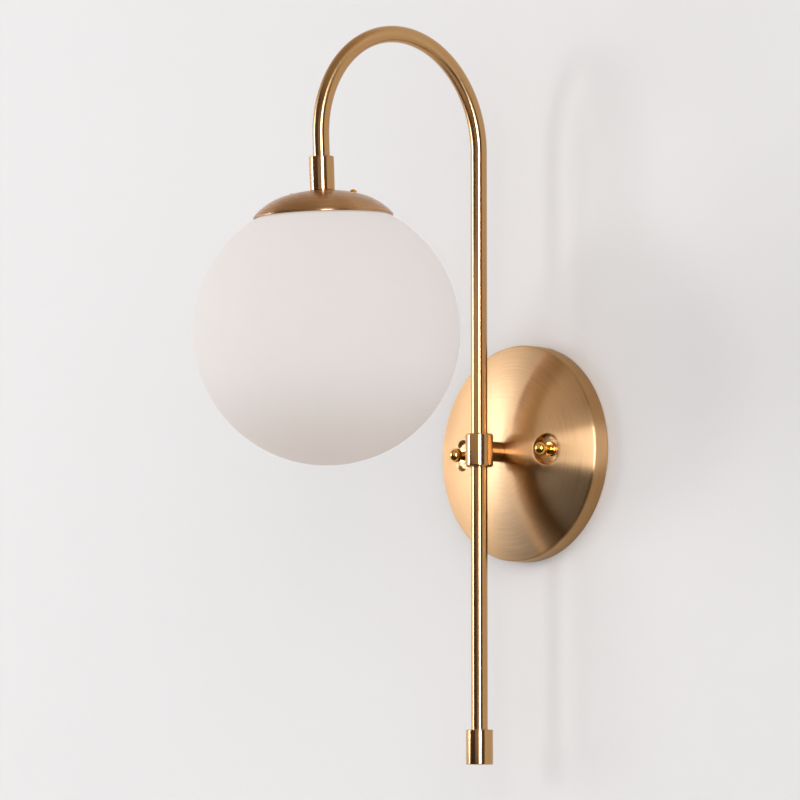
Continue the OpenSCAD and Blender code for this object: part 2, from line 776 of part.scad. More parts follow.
module sweep(p, r) {
    ns = normals(p, 0, [0.1, 0.2, 1]);
    rings = [for (i = [0:len(p) - 1], k = [0:wire_sides - 1])
        let (n = ns[i], b = cross(tangent(p, i), n), a = 360 * k / wire_sides)
            p[i] + r * (cos(a) * n + sin(a) * b)];
    m = wire_sides;
    sides = [for (i = [0:len(p) - 2], k = [0:m - 1])
        each [[i * m + k, (i + 1) * m + k, (i + 1) * m + (k + 1) % m],
              [i * m + k, (i + 1) * m + (k + 1) % m, i * m + (k + 1) % m]]];
    last = (len(p) - 1) * m;
    start_cap = [for (k = [0:m - 1]) k];
    end_cap = [for (k = [m - 1:-1:0]) last + k];
    polyhedron(points = rings, faces = concat(sides, [start_cap, end_cap]));
}

function curve_at(a, b, c, d, t) = pow(1 - t, 3) * a + 3 * pow(1 - t, 2) * t * b
    + 3 * (1 - t) * t * t * c + pow(t, 3) * d;
function curve(a, b, c, d, n) = [for (i = [0:n]) curve_at(a, b, c, d, i / n)];
function head_point(x, down) = [x, head_y + down * sin(head_lean), head_z - down * cos(head_lean)];

// From its pole in the terminal block through the arm and the tube to the lampholder
function wire_route(dx, up) = let (
    start = [block_end_x - 6, -pole_h, up],
    leave = [block_end_x + 1, -pole_h, up],
    tail = [dx, -(washer_face - tail_l) - 0.5, 0]
) concat(
    [start],
    curve(leave, leave + [5, 0, 0], tail + [0, 6, 0], tail, 10),
    [for (a = [0:22.5:90]) [dx, -wall_gap + elbow_r * (1 - sin(a)), elbow_r * (1 - cos(a))]],
    [for (i = [0:30]) let (a = arch_sweep * i / 30)
        [dx, -wall_gap - arch_r + arch_r * cos(a), rise_h + arch_r * sin(a)]],
    [head_point(dx, insert_start - 0.05)]
);

module live_wire() color("#6b4a33") sweep(wire_route(-wire_dx, pole_pitch / 2), wire_r);
module neutral_wire() color("#3c6ea8") sweep(wire_route(wire_dx, -pole_pitch / 2), wire_r);

// A green and yellow lead with an eye at each end
module earth_lead() {
    eye_h = washer_face - washer_h - eye_t;
    lead_r = wire_r - 0.2;
    tab = 2.6;
    from = [eye_r + tab - 0.2, -eye_h - eye_t / 2, 0];
    to = [earth_x, -raised_face - lead_r - 0.1, earth_head_r + tab];
    color("#8fae3a") {
        off_wall() translate([0, 0, eye_h]) difference() {
            union() {
                cylinder(r = eye_r, h = eye_t);
                translate([0, -tab / 2, 0]) cube([eye_r + tab, tab, eye_t]);
            }
            translate([0, 0, -1]) cylinder(r = tail_d / 2 + hole_gap, h = eye_t + 2);
        }
        off_wall() translate([earth_x, 0, raised_face]) difference() {
            union() {
                cylinder(r = earth_head_r, h = eye_t);
                translate([-tab / 2, 0, 0]) cube([tab, earth_head_r + tab, eye_t]);
            }
            translate([0, 0, -1]) cylinder(r = earth_screw_r + hole_gap, h = eye_t + 2);
        }
        sweep(curve(from, from + [6, 4, 0], to + [0, -3, 8], to, 14), lead_r);
    }
}

wall_bracket();
plate_screws();
earth_screw();
earth_lead();
terminal_block();
terminal_tubes();
terminal_fixing();
wall_plate();
ball_nut_left();
ball_nut_right();
arm();
arm_washer();
arm_lock_nut();
collar();
gooseneck_tube();
lower_rod();
rod_end_cap();
coupling();
nipple();
cap_lock_nut();
shade_cap();
cap_screws();
clip_ring();
glass_gasket();
glass_globe();
holder_top();
holder_insert();
holder_contact();
holder_shell();
holder_skirt();
bulb_contact();
bulb_insulator();
bulb_base();
bulb_body();
bulb_diffuser();
live_wire();
neutral_wire();
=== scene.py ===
# Looks of the gooseneck wall light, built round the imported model
import json
import math

import bmesh
import bpy
from mathutils import Matrix, Vector
from mathutils.geometry import delaunay_2d_cdt


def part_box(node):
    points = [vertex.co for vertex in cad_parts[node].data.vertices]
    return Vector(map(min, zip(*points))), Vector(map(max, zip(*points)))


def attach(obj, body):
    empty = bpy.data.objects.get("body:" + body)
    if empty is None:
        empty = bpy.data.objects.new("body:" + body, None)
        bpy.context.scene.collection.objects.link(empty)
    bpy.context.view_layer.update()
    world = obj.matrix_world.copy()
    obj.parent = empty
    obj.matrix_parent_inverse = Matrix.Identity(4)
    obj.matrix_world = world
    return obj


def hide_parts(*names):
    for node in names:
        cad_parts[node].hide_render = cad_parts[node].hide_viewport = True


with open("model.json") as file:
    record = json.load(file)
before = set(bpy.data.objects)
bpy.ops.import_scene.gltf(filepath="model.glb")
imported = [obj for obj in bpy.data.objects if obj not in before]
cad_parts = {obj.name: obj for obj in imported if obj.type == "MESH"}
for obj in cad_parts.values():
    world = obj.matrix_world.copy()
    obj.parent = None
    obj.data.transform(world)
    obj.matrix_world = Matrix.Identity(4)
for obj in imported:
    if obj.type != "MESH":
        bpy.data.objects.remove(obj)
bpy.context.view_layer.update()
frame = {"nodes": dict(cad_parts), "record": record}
mm = 0.001
tiny = 1e-6          # anything less counts as nothing
onePoint = 1e-5      # points nearer than this, in millimetres, become one
tubeFit = 0.03       # play round a tube in its socket, in millimetres
reliefMm = 0.05      # height of the relief on a plain surface at full strength
noiseLow = 0.3       # nearly all of a noise texture lies between these two
noiseHigh = 0.7


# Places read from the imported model, in millimetres
def boxOf(node):
    low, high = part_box(node)
    return low / mm, high / mm


plateLow, plateHigh = boxOf("wall_plate")
collarLow, collarHigh = boxOf("collar")
tubeLow, tubeHigh = boxOf("gooseneck_tube")
rodLow, rodHigh = boxOf("lower_rod")
endCapLow, endCapHigh = boxOf("rod_end_cap")
couplingLow, couplingHigh = boxOf("coupling")
globeLow, globeHigh = boxOf("glass_globe")
nutLow, nutHigh = boxOf("ball_nut_right")

plateR = (plateHigh.x - plateLow.x) / 2
plateDepth = -plateLow.y
wallGap = -(collarLow.y + collarHigh.y) / 2
tubeR = (tubeHigh.x - tubeLow.x) / 2
archR = (tubeHigh.y - tubeLow.y) / 2 - tubeR
riseH = tubeHigh.z - tubeR - archR
globeR = (globeHigh.x - globeLow.x) / 2
globeCentre = Vector((0, (globeLow.y + globeHigh.y) / 2, globeLow.z + globeR))
couplingCentre = (couplingLow + couplingHigh) / 2
nutX = (nutLow.x + nutHigh.x) / 2

# The head hangs a little out of plumb: its own axis, and how far that leans in radians
headUp = (couplingCentre - globeCentre).normalized()
headLean = math.atan2(-headUp.y, headUp.z)

# Local frames: z is the axis that a round piece is turned on
wallFrame = Matrix.Rotation(math.radians(90), 4, "X")
postFrame = Matrix.Translation((0, -wallGap, 0))
headFrame = Matrix.Translation(globeCentre) @ Matrix.Rotation(headLean, 4, "X")


# An sRGB hex colour as linear numbers
def toLinear(hexColour):
    channels = [int(hexColour[i:i + 2], 16) / 255 for i in (1, 3, 5)]
    return [c / 12.92 if c <= 0.04045 else ((c + 0.055) / 1.055) ** 2.4 for c in channels] + [1.0]


# An arc for an outline, which is a list of (radius, height) points
def arcPoints(centreR, centreH, radius, fromDeg, toDeg, steps):
    angles = [math.radians(fromDeg + (toDeg - fromDeg) * i / steps) for i in range(steps + 1)]
    return [(centreR + radius * math.cos(a), centreH + radius * math.sin(a)) for a in angles]


# The outside of a round piece between two heights, with both edges rounded
def roundedSide(radius, low, high, edge, steps):
    return (arcPoints(radius - edge, low + edge, edge, -90, 0, steps)
            + arcPoints(radius - edge, high - edge, edge, 0, 90, steps))


def makeObject(name, mesh, slot, body, material, *nodes):
    piece = bpy.data.objects.new(name, mesh)
    bpy.context.scene.collection.objects.link(piece)
    mesh.materials.append(material)
    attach(piece, body)
    if nodes:
        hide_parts(*nodes)


# Joins rows of points into a skin; each row is a list of points of one length
# The UV runs along the rows' order in U and round each row in V, both in millimetres
def skinMesh(name, rows, place, closeRows=False, sharpDeg=32):
    count = len(rows[0])
    bm = bmesh.new()
    uvLayer = bm.loops.layers.uv.new("brush")
    vertexRows = []
    for row in rows:
        if all((Vector(p) - Vector(row[0])).length < tiny for p in row):
            only = bm.verts.new(place @ Vector(row[0]) * mm)
            vertexRows.append([only] * count)
        else:
            vertexRows.append([bm.verts.new(place @ Vector(p) * mm) for p in row])
    along = [0.0]
    for a, b in zip(rows, rows[1:] + rows[:1]):
        along.append(along[-1] + (Vector(b[0]) - Vector(a[0])).length)
    widest = max((Vector(row[0]) - Vector(row[count // 2])).length for row in rows)
    around = math.pi * widest / count
    last = len(rows) if closeRows else len(rows) - 1
    for i in range(last):
        upper, lower = vertexRows[i], vertexRows[(i + 1) % len(rows)]
        for k in range(count):
            n = (k + 1) % count
            corners = [(upper[k], along[i], k), (upper[n], along[i], k + 1),
                       (lower[n], along[i + 1], k + 1), (lower[k], along[i + 1], k)]
            kept = [c for j, c in enumerate(corners) if c[0] is not corners[j - 1][0]]
            if len(kept) < 3:
                continue
            face = bm.faces.new([c[0] for c in kept])
            for loop, corner in zip(face.loops, kept):
                loop[uvLayer].uv = (corner[1], corner[2] * around)
    bmesh.ops.recalc_face_normals(bm, faces=bm.faces)
    mesh = bpy.data.meshes.new(name)
    bm.to_mesh(mesh)
    bm.free()
    mesh.shade_smooth()
    mesh.set_sharp_from_angle(angle=math.radians(sharpDeg))
    return mesh


# Turns an outline of (radius, height) points round the frame's z axis
def latheMesh(name, outline, place, segments=96, closed=False, sharpDeg=32):
    turns = [(math.cos(2 * math.pi * k / segments), math.sin(2 * math.pi * k / segments))
             for k in range(segments)]
    rows = [[(r * c, r * s, h) for c, s in turns] for r, h in outline]
    return skinMesh(name, rows, place, closed, sharpDeg)


# Sweeps a circle along a path that lies in the plane x = const
def tubeRows(path, radius, segments):
    rows = []
    for i, point in enumerate(path):
        ahead = (path[min(i + 1, len(path) - 1)] - path[max(i - 1, 0)]).normalized()
        side = Vector((1, 0, 0))
        up = ahead.cross(side).normalized()
        rows.append([point + radius * (math.cos(a) * side + math.sin(a) * up)
                     for a in (2 * math.pi * k / segments for k in range(segments))])
    return rows


# Adds a node; settings name its sockets or its properties, links name the socket that each feeds
def addNode(tree, kind, settings=None, links=None):
    node = tree.nodes.new(kind)
    for key, value in (settings or {}).items():
        if isinstance(key, int) or key in node.inputs:
            node.inputs[key].default_value = value
        else:
            setattr(node, key, value)
    for key, source in (links or {}).items():
        tree.links.new(source, node.inputs[key])
    return node


def newMaterial(name):
    material = bpy.data.materials.new(name)
    material.use_nodes = True
    material.node_tree.nodes.clear()
    return material, material.node_tree


def finishMaterial(material, tree, settings, links):
    shader = addNode(tree, "ShaderNodeBsdfPrincipled", settings, links)
    addNode(tree, "ShaderNodeOutputMaterial", None, {"Surface": shader.outputs["BSDF"]})
    return material


# Brass brushed on a belt while it turns, under clear lacquer: fine lines run round the piece,
# so lights draw out along it and stay narrow across it
# Where the press attribute is 1 the brush didn't reach, so the lines fade out there
def makeBrushedBrass(name, look):
    material, tree = newMaterial(name)
    place = addNode(tree, "ShaderNodeUVMap", {"uv_map": "brush"})
    lines = addNode(tree, "ShaderNodeVectorMath",
                    {"operation": "MULTIPLY", 1: (1 / look["lineMm"], 1 / look["lineRunMm"], 1)},
                    {0: place.outputs["UV"]})
    grain = addNode(tree, "ShaderNodeTexNoise",
                    {"noise_dimensions": "2D", "Scale": 1.0, "Detail": 3.0, "Roughness": 0.6},
                    {"Vector": lines.outputs["Vector"]})
    solid = addNode(tree, "ShaderNodeTexCoord")
    patches = addNode(tree, "ShaderNodeTexNoise",
                      {"Scale": 1000 / look["patchMm"], "Detail": 2.0, "Roughness": 0.5},
                      {"Vector": solid.outputs["Object"]})
    tone = addNode(tree, "ShaderNodeMix", {"data_type": "RGBA", "A": toLinear(look["colour"]),
                                           "B": toLinear(look["deepColour"])},
                   {"Factor": patches.outputs["Fac"]})
    pressed = addNode(tree, "ShaderNodeAttribute", {"attribute_name": "press"})
    darkest = addNode(tree, "ShaderNodeMapRange", {"To Min": 1 - look["streak"], "To Max": 1.0},
                      {"Value": pressed.outputs["Fac"]})
    streak = addNode(tree, "ShaderNodeMapRange",
                     {"From Min": noiseLow, "From Max": noiseHigh, "To Max": 1.0},
                     {"Value": grain.outputs["Fac"], "To Min": darkest.outputs["Result"]})
    colour = addNode(tree, "ShaderNodeVectorMath", {"operation": "SCALE"},
                     {0: tone.outputs["Result"], "Scale": streak.outputs["Result"]})
    rough = addNode(tree, "ShaderNodeMapRange",
                    {"From Min": noiseLow, "From Max": noiseHigh,
                     "To Min": look["rough"] - look["roughVary"],
                     "To Max": look["rough"] + look["roughVary"]},
                    {"Value": grain.outputs["Fac"]})
    smooth = addNode(tree, "ShaderNodeMix", {"data_type": "FLOAT", "B": look["pressedRough"]},
                     {"Factor": pressed.outputs["Fac"], "A": rough.outputs["Result"]})
    depth = addNode(tree, "ShaderNodeMapRange", {"To Min": look["relief"], "To Max": 0.0},
                    {"Value": pressed.outputs["Fac"]})
    relief = addNode(tree, "ShaderNodeBump", {"Distance": look["lineDeepMm"] * mm},
                     {"Strength": depth.outputs["Result"], "Height": grain.outputs["Fac"]})
    tangent = addNode(tree, "ShaderNodeTangent", {"direction_type": "UV_MAP", "uv_map": "brush"})
    return finishMaterial(material, tree,
                          {"Metallic": 1.0, "Anisotropic": look["drawnOut"]},
                          {"Base Color": colour.outputs["Vector"], "Roughness": smooth.outputs["Result"],
                           "Normal": relief.outputs["Normal"], "Tangent": tangent.outputs["Tangent"]})


# A plain surface with cloudy patches of colour, gloss and relief that are about grainMm across
def makePlain(name, look):
    material, tree = newMaterial(name)
    solid = addNode(tree, "ShaderNodeTexCoord")
    cloud = addNode(tree, "ShaderNodeTexNoise",
                    {"Scale": 1000 / look["grainMm"], "Detail": 3.0, "Roughness": 0.55},
                    {"Vector": solid.outputs["Object"]})
    tone = addNode(tree, "ShaderNodeMix", {"data_type": "RGBA", "A": toLinear(look["colour"]),
                                           "B": toLinear(look["deepColour"])},
                   {"Factor": cloud.outputs["Fac"]})
    rough = addNode(tree, "ShaderNodeMapRange",
                    {"To Min": look["rough"] - look["roughVary"],
                     "To Max": look["rough"] + look["roughVary"]},
                    {"Value": cloud.outputs["Fac"]})
    relief = addNode(tree, "ShaderNodeBump", {"Strength": look["relief"], "Distance": reliefMm * mm},
                     {"Height": cloud.outputs["Fac"]})
    settings = {"Metallic": look.get("metal", 0.0), "Coat Weight": look.get("coat", 0.0),
                "Specular IOR Level": look.get("gloss", 0.5), "Emission Strength": look.get("glow", 0.0)}
    links = {"Base Color": tone.outputs["Result"], "Roughness": rough.outputs["Result"],
             "Normal": relief.outputs["Normal"]}
    # Painted light: a glow stands in for light here, on a part that is no lamp
    if "glow" in look:
        links["Emission Color"] = addPaintedGlow(tree, solid, look).outputs["Result"]
    return finishMaterial(material, tree, settings, links)


# The painted glow of the glass, made dimmer towards its foot as painted shade, so the foot shows darker than
# its sides
def addPaintedGlow(tree, solid, look):
    split = addNode(tree, "ShaderNodeSeparateXYZ", None, {"Vector": solid.outputs["Object"]})
    height = addNode(tree, "ShaderNodeMapRange",
                     {"interpolation_type": "SMOOTHSTEP", "From Min": globeLow.z * mm,
                      "From Max": (globeLow.z + look["footHeight"]) * mm},
                     {"Value": split.outputs["Z"]})
    return addNode(tree, "ShaderNodeMix", {"data_type": "RGBA", "A": toLinear(look["paintedShadeFootGlow"]),
                                           "B": toLinear(look["glowColour"])},
                   {"Factor": height.outputs["Result"]})


print("materials")
# Drawn brass tube, belt brushed and lacquered: warm metal with soft, narrow stripes of light
# Real brushed lines are about 0.05 mm apart, too fine to show, so lineMm draws them coarser
satinTubeLook = {"colour": "#CBA06C", "deepColour": "#BF925E", "rough": 0.24, "roughVary": 0.02,
                 "drawnOut": 0.9, "lineMm": 0.35, "lineRunMm": 14, "lineDeepMm": 0.02, "streak": 0.10,
                 "relief": 0.04, "patchMm": 60, "pressedRough": 0.27}
# Spun brass sheet, brushed on the lathe: light spreads in fans from the middle, with faint rings
satinPlateLook = dict(satinTubeLook, rough=0.31, roughVary=0.03, drawnOut=1.0, lineMm=0.6, lineRunMm=40,
                      streak=0.14, relief=0.1)
# Spun brass of the shade cap, with a lighter brush: a little browner, and its lights are less drawn out
satinCapLook = dict(satinPlateLook, rough=0.28, drawnOut=0.8, colour="#C2966A", deepColour="#B78A5C")
# Turned brass, polished and lacquered: deep yellow with small bright lights
polishedLook = {"colour": "#E8B660", "deepColour": "#DFA850", "rough": 0.17, "roughVary": 0.02,
                "grainMm": 3, "relief": 0.05, "metal": 1.0}
# Blown opal glass, etched matt: milky, with no clear reflection. Its emission is painted light that evens out
# its shaded side, painted dimmer towards the foot as painted shade
# The etched grain is too fine to show, so grainMm draws only the broad clouds in the glass
opalLook = {"colour": "#A8A6A5", "deepColour": "#A3A1A0", "rough": 0.8, "roughVary": 0.03,
            "grainMm": 25, "relief": 0.02, "glow": 0.41, "glowColour": "#FAEFE9", "paintedShadeFootGlow": "#DCC8B9",
            "footHeight": 58, "gloss": 0.25}
# Pressed steel, zinc plated: cool grey with a cloudy, half dull shine
zincLook = {"colour": "#B9BBBE", "deepColour": "#A3A6AA", "rough": 0.34, "roughVary": 0.08,
            "grainMm": 2.5, "relief": 0.1, "metal": 1.0}
# Spring steel, rolled and left bright: darker and smoother than the zinc
springLook = dict(zincLook, colour="#A9A9A8", deepColour="#8E8E8E", rough=0.25)
# Moulded silicone: off-white and dull, with a faint uneven skin
siliconeLook = {"colour": "#DAD9D4", "deepColour": "#CFCEC8", "rough": 0.6, "roughVary": 0.05,
                "grainMm": 1.5, "relief": 0.1}
# Moulded phenolic: brown-black with a soft gloss
phenolicLook = {"colour": "#2B2521", "deepColour": "#221D1A", "rough": 0.32, "roughVary": 0.05,
                "grainMm": 4, "relief": 0.05}
# Glazed porcelain: warm white under a clear, wet-looking coat
porcelainLook = {"colour": "#F0EDE6", "deepColour": "#E8E4DA", "rough": 0.15, "roughVary": 0.03,
                 "grainMm": 5, "relief": 0.03, "coat": 0.5}
# Drawn brass, nickel plated: warm silver, brighter than the zinc
nickelLook = {"colour": "#C9C3B8", "deepColour": "#B8B2A6", "rough": 0.2, "roughVary": 0.05,
              "grainMm": 3, "relief": 0.06, "metal": 1.0}
# Black glass, fused into the bulb's base: deep black and glossy
blackGlassLook = {"colour": "#191716", "deepColour": "#121110", "rough": 0.12, "roughVary": 0.02,
                  "grainMm": 3, "relief": 0.02}
# Moulded polyester: clean white with a slight sheen
bulbBodyLook = {"colour": "#EFEFEC", "deepColour": "#E8E8E4", "rough": 0.3, "roughVary": 0.04,
                "grainMm": 6, "relief": 0.03}
# Moulded polycarbonate, frosted: warm white with only wide, faint lights
diffuserLook = {"colour": "#F3F0E8", "deepColour": "#EEEAE0", "rough": 0.5, "roughVary": 0.04,
                "grainMm": 8, "relief": 0.02}
# Moulded nylon: waxy, yellowish white
nylonLook = {"colour": "#E2DFD4", "deepColour": "#D8D4C6", "rough": 0.45, "roughVary": 0.05,
             "grainMm": 3, "relief": 0.06}
# Extruded PVC insulation: one even colour with a soft shine
liveLook = {"colour": "#6E472F", "deepColour": "#5F3C27", "rough": 0.4, "roughVary": 0.05,
            "grainMm": 3, "relief": 0.04}
neutralLook = dict(liveLook, colour="#2E62A8", deepColour="#275592")
# The green and the yellow of the earth lead run into each other in patches
earthLook = dict(liveLook, colour="#7FA32B", deepColour="#C9C22E")

satinTube = makeBrushedBrass("satinBrassBeltBrushed", satinTubeLook)
satinPlate = makeBrushedBrass("satinBrassSpunAndBrushed", satinPlateLook)
satinCap = makeBrushedBrass("satinBrassSpunCap", satinCapLook)
polishedBrass = makePlain("brassPolished", polishedLook)
opalGlass = makePlain("opalGlassEtched", opalLook)
zincSteel = makePlain("steelZincPlated", zincLook)
springSteel = makePlain("springSteelBright", springLook)
silicone = makePlain("siliconeMoulded", siliconeLook)
phenolic = makePlain("phenolicMoulded", phenolicLook)
porcelain = makePlain("porcelainGlazed", porcelainLook)
nickelBrass = makePlain("brassNickelPlated", nickelLook)
blackGlass = makePlain("blackGlassFused", blackGlassLook)
bulbPlastic = makePlain("pbtPlasticMoulded", bulbBodyLook)
frostedPlastic = makePlain("polycarbonateFrosted", diffuserLook)
nylon = makePlain("nylonMoulded", nylonLook)
livePvc = makePlain("pvcBrownExtruded", liveLook)
neutralPvc = makePlain("pvcBlueExtruded", neutralLook)
earthPvc = makePlain("pvcGreenYellowExtruded", earthLook)

cadMaterials = {
    "satin_brass": satinTube, "polished_brass": polishedBrass, "zinc_steel": zincSteel,
    "spring_steel": springSteel, "opal_glass": opalGlass, "silicone": silicone, "phenolic": phenolic,
    "porcelain": porcelain, "nickel_plate": nickelBrass, "black_glass": blackGlass,
    "bulb_plastic": bulbPlastic, "frosted_plastic": frostedPlastic, "terminal_nylon": nylon,
    "live_insulation": livePvc, "neutral_insulation": neutralPvc, "earth_insulation": earthPvc,
}
for part in frame["record"]["subparts"]:
    node = frame["nodes"][part["node"]]
    node.data.materials.clear()
    node.data.materials.append(cadMaterials[part["material_slot"]])

print("wall plate")
plateLook = {
    "bandDepth": 10.0,     # plain band next to the wall
    "edgeRound": 2.0,      # rounding between the band and the dome
    "edgeSteps": 10,
    "wall": 1.2,           # thickness of the sheet
    "seatR": 8.9,          # flat seat sunk into the dome for each ball nut
    "seatDrop": 0.3,       # its depth at the outer edge, where it is shallowest
    "stepWide": 0.8,       # width of the rounded step round it
    "stepRings": 12,
    "rimSoft": 3.6,        # how much wider the step is on the rim's side
    "leanFrom": 4.0,       # outside this radius the seat is shaded more like the dome, on the rim's side
    "lean": 0.8,           # how much of the dome's slope it takes there
    "armHoleR": 5.1,
    "screwHoleR": 2.35,
    "segments": 240,
    "domeRings": 26,
    "seatSegments": 96,
    "seatRings": (4.0, 4.8, 5.5, 6.2, 7.0, 7.6, 8.1),    # radii of the rings of points on a seat
    "ringGap": 0.7,        # the dome's own rings keep this far from a seat's
    "slopeStep": 0.02,     # distance over which a slope is measured
}


# Radius of the dome and the height of its centre off the wall
def domeShape(look):
    rise = plateDepth - look["bandDepth"]
    radius = (plateR ** 2 + rise ** 2) / (2 * rise)
    return radius, plateDepth - radius


# How far (x, z) is from the middle of its seat, and which side that is: 1 at the rim's, -1 at the arm's
def seatSpot(x, z):
    away = math.hypot(abs(x) - nutX, z)
    return away, (abs(x) - nutX) / max(away, tiny)


# 0 on a seat, 1 on the dome, and between them on the step, which runs out softly on the rim's side
def pressAt(x, z, look, inset):
    away, rimward = seatSpot(x, z)
    wide = look["stepWide"] + look["rimSoft"] * ((1 + rimward) / 2) ** 2
    return min(max((away - inset - look["seatR"] - look["stepWide"] / 2) / wide + 1, 0.0), 1.0)


# Height of the pressed sheet off the wall at (x, z)
def plateHeight(x, z, look, inset):
    radius, centre = domeShape(look)
    dome = centre + math.sqrt((radius - inset) ** 2 - x * x - z * z)
    seat = centre + math.sqrt(radius ** 2 - (nutX + look["seatR"]) ** 2) - look["seatDrop"] - inset
    t = pressAt(x, z, look, inset)
    return seat + (dome - seat) * t * t * (3 - 2 * t)


# How much the shading follows the dome on the rim's side of a seat, where the pressed edge is soft
def softEdge(x, z, look):
    away, rimward = seatSpot(x, z)
    if away >= look["seatR"] + look["stepWide"]:
        return 0.0
    t = min(max((away - look["leanFrom"]) / (look["seatR"] - look["leanFrom"]), 0.0), 1.0)
    return look["lean"] * max(rimward, 0.0) * t


# Slope that the sheet is shaded with at (x, z)
def plateSlope(x, z, look, inset):
    step = look["slopeStep"]
    slopeX = (plateHeight(x + step, z, look, inset) - plateHeight(x - step, z, look, inset)) / (2 * step)
    slopeZ = (plateHeight(x, z + step, look, inset) - plateHeight(x, z - step, look, inset)) / (2 * step)
    domeRise = math.sqrt((domeShape(look)[0] - inset) ** 2 - x * x - z * z)
    soft = softEdge(x, z, look)
    return slopeX + (-x / domeRise - slopeX) * soft, slopeZ + (-z / domeRise - slopeZ) * soft


# Rings of points for one face of the domed sheet, and the edges that bound it
def plateRings(look, inset):
    radius = domeShape(look)[0]
    meetX = (plateR - look["edgeRound"]) * (radius - inset) / (radius - look["edgeRound"])
    stepStart = look["seatR"] + inset - look["stepWide"] / 2
    stepRings = [stepStart + look["stepWide"] * i / look["stepRings"] for i in range(look["stepRings"] + 1)]
    seatRings = [look["screwHoleR"], *look["seatRings"], *stepRings]
    seatClear = seatRings[-1] + look["ringGap"]
    points, edges = [], []

    def addRing(centreX, ringR, count, isBound, avoidsSeats):
        first = len(points)
        turns = [2 * math.pi * k / count for k in range(count)]
        ring = [(centreX + ringR * math.cos(t), ringR * math.sin(t)) for t in turns]
        points.extend(p for p in ring if not avoidsSeats or seatSpot(*p)[0] > seatClear)
        if isBound:
            edges.extend((first + k, first + (k + 1) % count) for k in range(count))

    last = look["domeRings"]
    for i in range(last + 1):
        ringR = look["armHoleR"] + (meetX - look["armHoleR"]) * i / last
        addRing(0, ringR, look["segments"], i in (0, last), 0 < i < last)
    for side in (-nutX, nutX):
        for i, ringR in enumerate(seatRings):
            addRing(side, ringR, look["seatSegments"], i == 0, False)
    return points, edges


# One face of the domed sheet; facing is 1 for the front and -1 for the back
def addDome(bm, look, inset, facing, normals, polish):
    points, edges = plateRings(look, inset)
    found = delaunay_2d_cdt([Vector(p) for p in points], edges, [], 0, onePoint)
    spots, faces = found[0], found[2]
    made = []
    for x, z in spots:
        vertex = bm.verts.new(Vector((x, -plateHeight(x, z, look, inset), z)) * mm)
        slopeX, slopeZ = plateSlope(x, z, look, inset)
        normals[vertex] = Vector((-slopeX, -1, -slopeZ)).normalized() * facing
        polish[vertex] = 1 - pressAt(x, z, look, inset)
        made.append(vertex)
    for face in faces:
        middle = sum((Vector(spots[i]) for i in face), Vector((0, 0))) / len(face)
        inArmHole = middle.length < look["armHoleR"]
        inScrewHole = seatSpot(*middle)[0] < look["screwHoleR"]
        if not inArmHole and not inScrewHole:
            bm.faces.new([made[i] for i in (face if facing > 0 else reversed(face))])


# Centre of the rounding between the dome and the band, and the angle at which it meets the dome
def edgeShape(look):
    radius, centre = domeShape(look)
    edgeX = plateR - look["edgeRound"]
    edgeH = centre + math.sqrt((radius - look["edgeRound"]) ** 2 - edgeX ** 2)
    return edgeX, edgeH, math.degrees(math.atan2(edgeH - centre, edgeX))


# The rounded edge and the band, from the dome to the wall; gives its last row, at the wall
def addBand(bm, look, inset, facing, normals):
    edgeX, edgeH, meetDeg = edgeShape(look)
    steps = look["edgeSteps"]
    outline = arcPoints(edgeX, edgeH, look["edgeRound"] - inset, meetDeg, 0, steps)
    outline += [(plateR - inset, edgeH / 2), (plateR - inset, 0)]
    rows = []
    for j, (r, h) in enumerate(outline):
        a = math.radians(meetDeg * (1 - min(j, steps) / steps))
        row = []
        for t in (2 * math.pi * k / look["segments"] for k in range(look["segments"])):
            vertex = bm.verts.new(Vector((r * math.cos(t), -h, r * math.sin(t))) * mm)
            out = Vector((math.cos(a) * math.cos(t), -math.sin(a), math.cos(a) * math.sin(t)))
            normals[vertex] = out * facing
            row.append(vertex)
        rows.append(row)
    for upper, lower in zip(rows, rows[1:]):
        for k in range(len(upper)):
            n = (k + 1) % len(upper)
            corners = [upper[k], upper[n], lower[n], lower[k]]
            bm.faces.new(corners[::-1] if facing > 0 else corners)
    return rows[-1]


# The brush runs round the plate: U is the way out over the sheet, V the way round, in millimetres
def mapPlate(bm, uvLayer, edgeH):
    for face in bm.faces:
        spots = [loop.vert.co / mm for loop in face.loops]
        angles = [math.atan2(p.z, p.x) for p in spots]
        if max(angles) - min(angles) > math.pi:
            angles = [a if a > 0 else a + 2 * math.pi for a in angles]
        for loop, spot, angle in zip(face.loops, spots, angles):
            reach = math.hypot(spot.x, spot.z) + max(0, edgeH + spot.y)
            loop[uvLayer].uv = (reach, angle * plateR)


def makePlate(look):
    bm = bmesh.new()
    uvLayer = bm.loops.layers.uv.new("brush")
    normals, polish, rims = {}, {}, []
    for inset, facing in ((0.0, 1), (look["wall"], -1)):
        addDome(bm, look, inset, facing, normals, polish)
        rims.append(addBand(bm, look, inset, facing, normals))
    front, back = rims
    for k in range(len(front)):
        n = (k + 1) % len(front)
        bm.faces.new([front[k], front[n], back[n], back[k]])
    bm.verts.index_update()
    mapPlate(bm, uvLayer, edgeShape(look)[1])
    order = [normals[v] for v in bm.verts]
    shine = [polish.get(v, 0.0) for v in bm.verts]
    mesh = bpy.data.meshes.new("plate")
    bm.to_mesh(mesh)
    bm.free()
    mesh.shade_smooth()
    mesh.normals_split_custom_set_from_vertices(order)
    mesh.attributes.new("press", "FLOAT", "POINT").data.foreach_set("value", shine)
    return mesh


makeObject("plateShell", makePlate(plateLook), "satin_brass", "fixture", satinPlate, "wall_plate")

print("ball nuts")
nutLook = {"ballR": 4.0, "flangeR": 4.3, "flangeH": 1.3, "flangeRound": 0.3, "neckR": 2.55, "fillet": 0.25,
           "segments": 72, "ballSteps": 28, "edgeSteps": 4, "sharpDeg": 50}
seatH = -nutHigh.y


